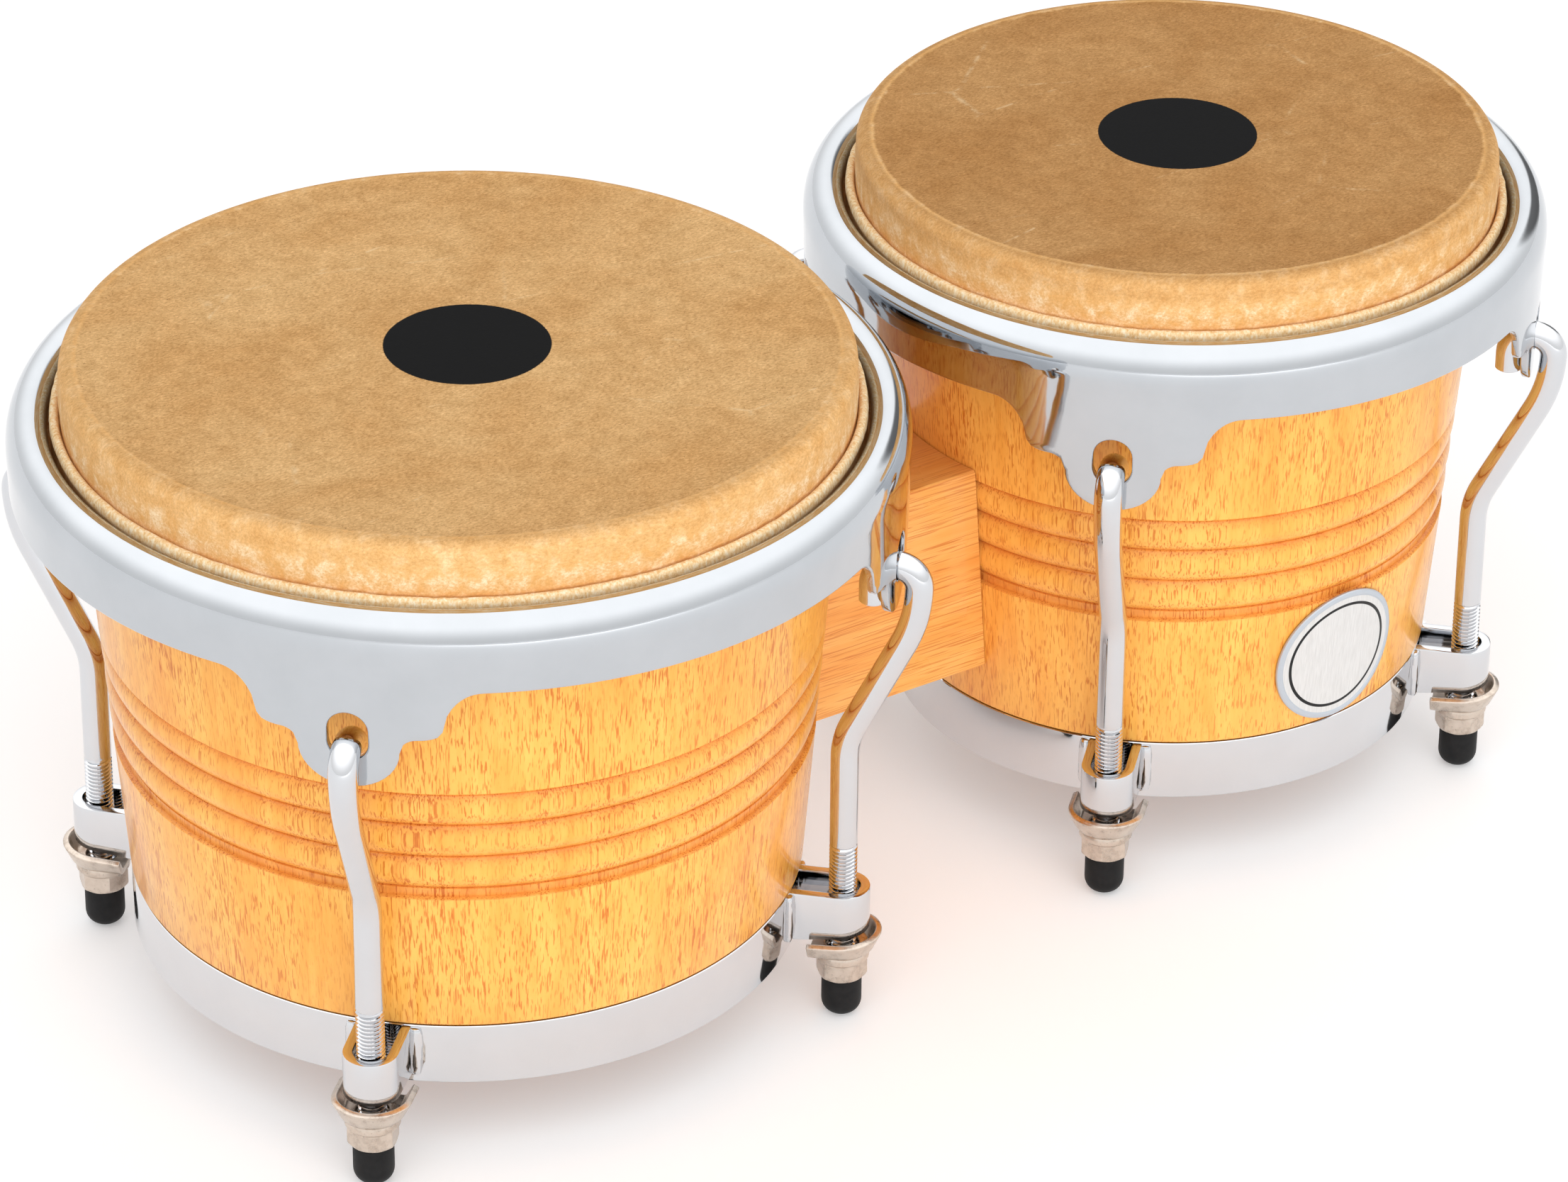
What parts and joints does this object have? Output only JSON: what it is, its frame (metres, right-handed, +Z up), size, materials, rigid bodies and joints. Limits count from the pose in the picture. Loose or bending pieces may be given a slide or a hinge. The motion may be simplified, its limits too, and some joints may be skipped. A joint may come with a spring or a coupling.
{
  "type": "bongo drums",
  "caption": "Pair of tapered wooden bongo drums joined by a centre block, with chromed tuning rims, hook bolts, lug brackets and rubber-capped feet.",
  "frame": {"origin": "middle of the whole pair's box, at the level of the floor under the rubber caps", "axes": "+Z up, +X from the large drum to the small drum, +Y completes the right-handed frame"},
  "size_m": [0.4762, 0.249, 0.2021],
  "materials": {
    "wood_lacquer": "light orange-brown open-grained hardwood under gloss lacquer",
    "chrome": "polished chrome plate",
    "nickel": "warm-toned nickel plate, slightly worn",
    "rubber": "matt black moulded rubber",
    "rawhide": "natural tan rawhide, matt, mottled",
    "zinc_steel": "zinc-plated steel",
    "brushed_metal": "plain brushed metal, no lettering"
  },
  "bodies": {
    "shells": {"large_shell": "wood_lacquer", "large_bottom_ring": "chrome", "large_backing_plate": "zinc_steel", "large_head_skin": "rawhide", "large_dished_washer_1": "nickel", "large_dished_washer_2": "nickel", "large_dished_washer_3": "nickel", "large_dished_washer_4": "nickel", "small_shell": "wood_lacquer", "small_bottom_ring": "chrome", "small_backing_plate": "zinc_steel", "small_head_skin": "rawhide", "small_dished_washer_1": "nickel", "small_dished_washer_2": "nickel", "small_dished_washer_3": "nickel", "small_dished_washer_4": "nickel", "centre_block": "wood_lacquer", "through_bolt_lower": "zinc_steel", "through_bolt_upper": "zinc_steel", "through_nut_lower": "zinc_steel", "through_nut_upper": "zinc_steel", "shell_badge": "brushed_metal"},
    "large_hoop": {"large_rim": "chrome", "large_tucked_skin": "rawhide", "large_flesh_ring": "zinc_steel", "large_hook_bolt_1": "chrome", "large_hook_bolt_2": "chrome", "large_hook_bolt_3": "chrome", "large_hook_bolt_4": "chrome", "large_rubber_cap_1": "rubber", "large_rubber_cap_2": "rubber", "large_rubber_cap_3": "rubber", "large_rubber_cap_4": "rubber"},
    "large_nut_1": {"large_flange_nut_1": "nickel"},
    "large_nut_2": {"large_flange_nut_2": "nickel"},
    "large_nut_3": {"large_flange_nut_3": "nickel"},
    "large_nut_4": {"large_flange_nut_4": "nickel"},
    "small_hoop": {"small_rim": "chrome", "small_tucked_skin": "rawhide", "small_flesh_ring": "zinc_steel", "small_hook_bolt_1": "chrome", "small_hook_bolt_2": "chrome", "small_hook_bolt_3": "chrome", "small_hook_bolt_4": "chrome", "small_rubber_cap_1": "rubber", "small_rubber_cap_2": "rubber", "small_rubber_cap_3": "rubber", "small_rubber_cap_4": "rubber"},
    "small_nut_1": {"small_flange_nut_1": "nickel"},
    "small_nut_2": {"small_flange_nut_2": "nickel"},
    "small_nut_3": {"small_flange_nut_3": "nickel"},
    "small_nut_4": {"small_flange_nut_4": "nickel"}
  },
  "joints": [
    {"name": "large_head_tuning", "type": "slide", "parent": "shells", "child": "large_hoop", "axis": [0, 0, -1], "range_m": [0, 0.004]},
    {"name": "large_nut_1_turn", "type": "hinge", "parent": "shells", "child": "large_nut_1", "pos_m": [-0.03658, 0.07708, 0.0171], "axis": [0, 0, 1], "range_deg": [0, 1153]},
    {"name": "large_nut_2_turn", "type": "hinge", "parent": "shells", "child": "large_nut_2", "pos_m": [-0.19073, 0.07708, 0.0171], "axis": [0, 0, 1], "range_deg": [0, 1153]},
    {"name": "large_nut_3_turn", "type": "hinge", "parent": "shells", "child": "large_nut_3", "pos_m": [-0.19073, -0.07708, 0.0171], "axis": [0, 0, 1], "range_deg": [0, 1153]},
    {"name": "large_nut_4_turn", "type": "hinge", "parent": "shells", "child": "large_nut_4", "pos_m": [-0.03658, -0.07708, 0.0171], "axis": [0, 0, 1], "range_deg": [0, 1153]},
    {"name": "small_head_tuning", "type": "slide", "parent": "shells", "child": "small_hoop", "axis": [0, 0, -1], "range_m": [0, 0.004]},
    {"name": "small_nut_1_turn", "type": "hinge", "parent": "shells", "child": "small_nut_1", "pos_m": [0.19538, 0.06583, 0.0171], "axis": [0, 0, 1], "range_deg": [0, 1153]},
    {"name": "small_nut_2_turn", "type": "hinge", "parent": "shells", "child": "small_nut_2", "pos_m": [0.06372, 0.06583, 0.0171], "axis": [0, 0, 1], "range_deg": [0, 1153]},
    {"name": "small_nut_3_turn", "type": "hinge", "parent": "shells", "child": "small_nut_3", "pos_m": [0.06372, -0.06583, 0.0171], "axis": [0, 0, 1], "range_deg": [0, 1153]},
    {"name": "small_nut_4_turn", "type": "hinge", "parent": "shells", "child": "small_nut_4", "pos_m": [0.19538, -0.06583, 0.0171], "axis": [0, 0, 1], "range_deg": [0, 1153]}
  ],
  "couplings": [
    {"joint": "large_nut_1_turn", "follows": "large_head_tuning", "rad_per_m": 5026.5},
    {"joint": "large_nut_2_turn", "follows": "large_head_tuning", "rad_per_m": 5026.5},
    {"joint": "large_nut_3_turn", "follows": "large_head_tuning", "rad_per_m": 5026.5},
    {"joint": "large_nut_4_turn", "follows": "large_head_tuning", "rad_per_m": 5026.5},
    {"joint": "small_nut_1_turn", "follows": "small_head_tuning", "rad_per_m": 5026.5},
    {"joint": "small_nut_2_turn", "follows": "small_head_tuning", "rad_per_m": 5026.5},
    {"joint": "small_nut_3_turn", "follows": "small_head_tuning", "rad_per_m": 5026.5},
    {"joint": "small_nut_4_turn", "follows": "small_head_tuning", "rad_per_m": 5026.5}
  ]
}
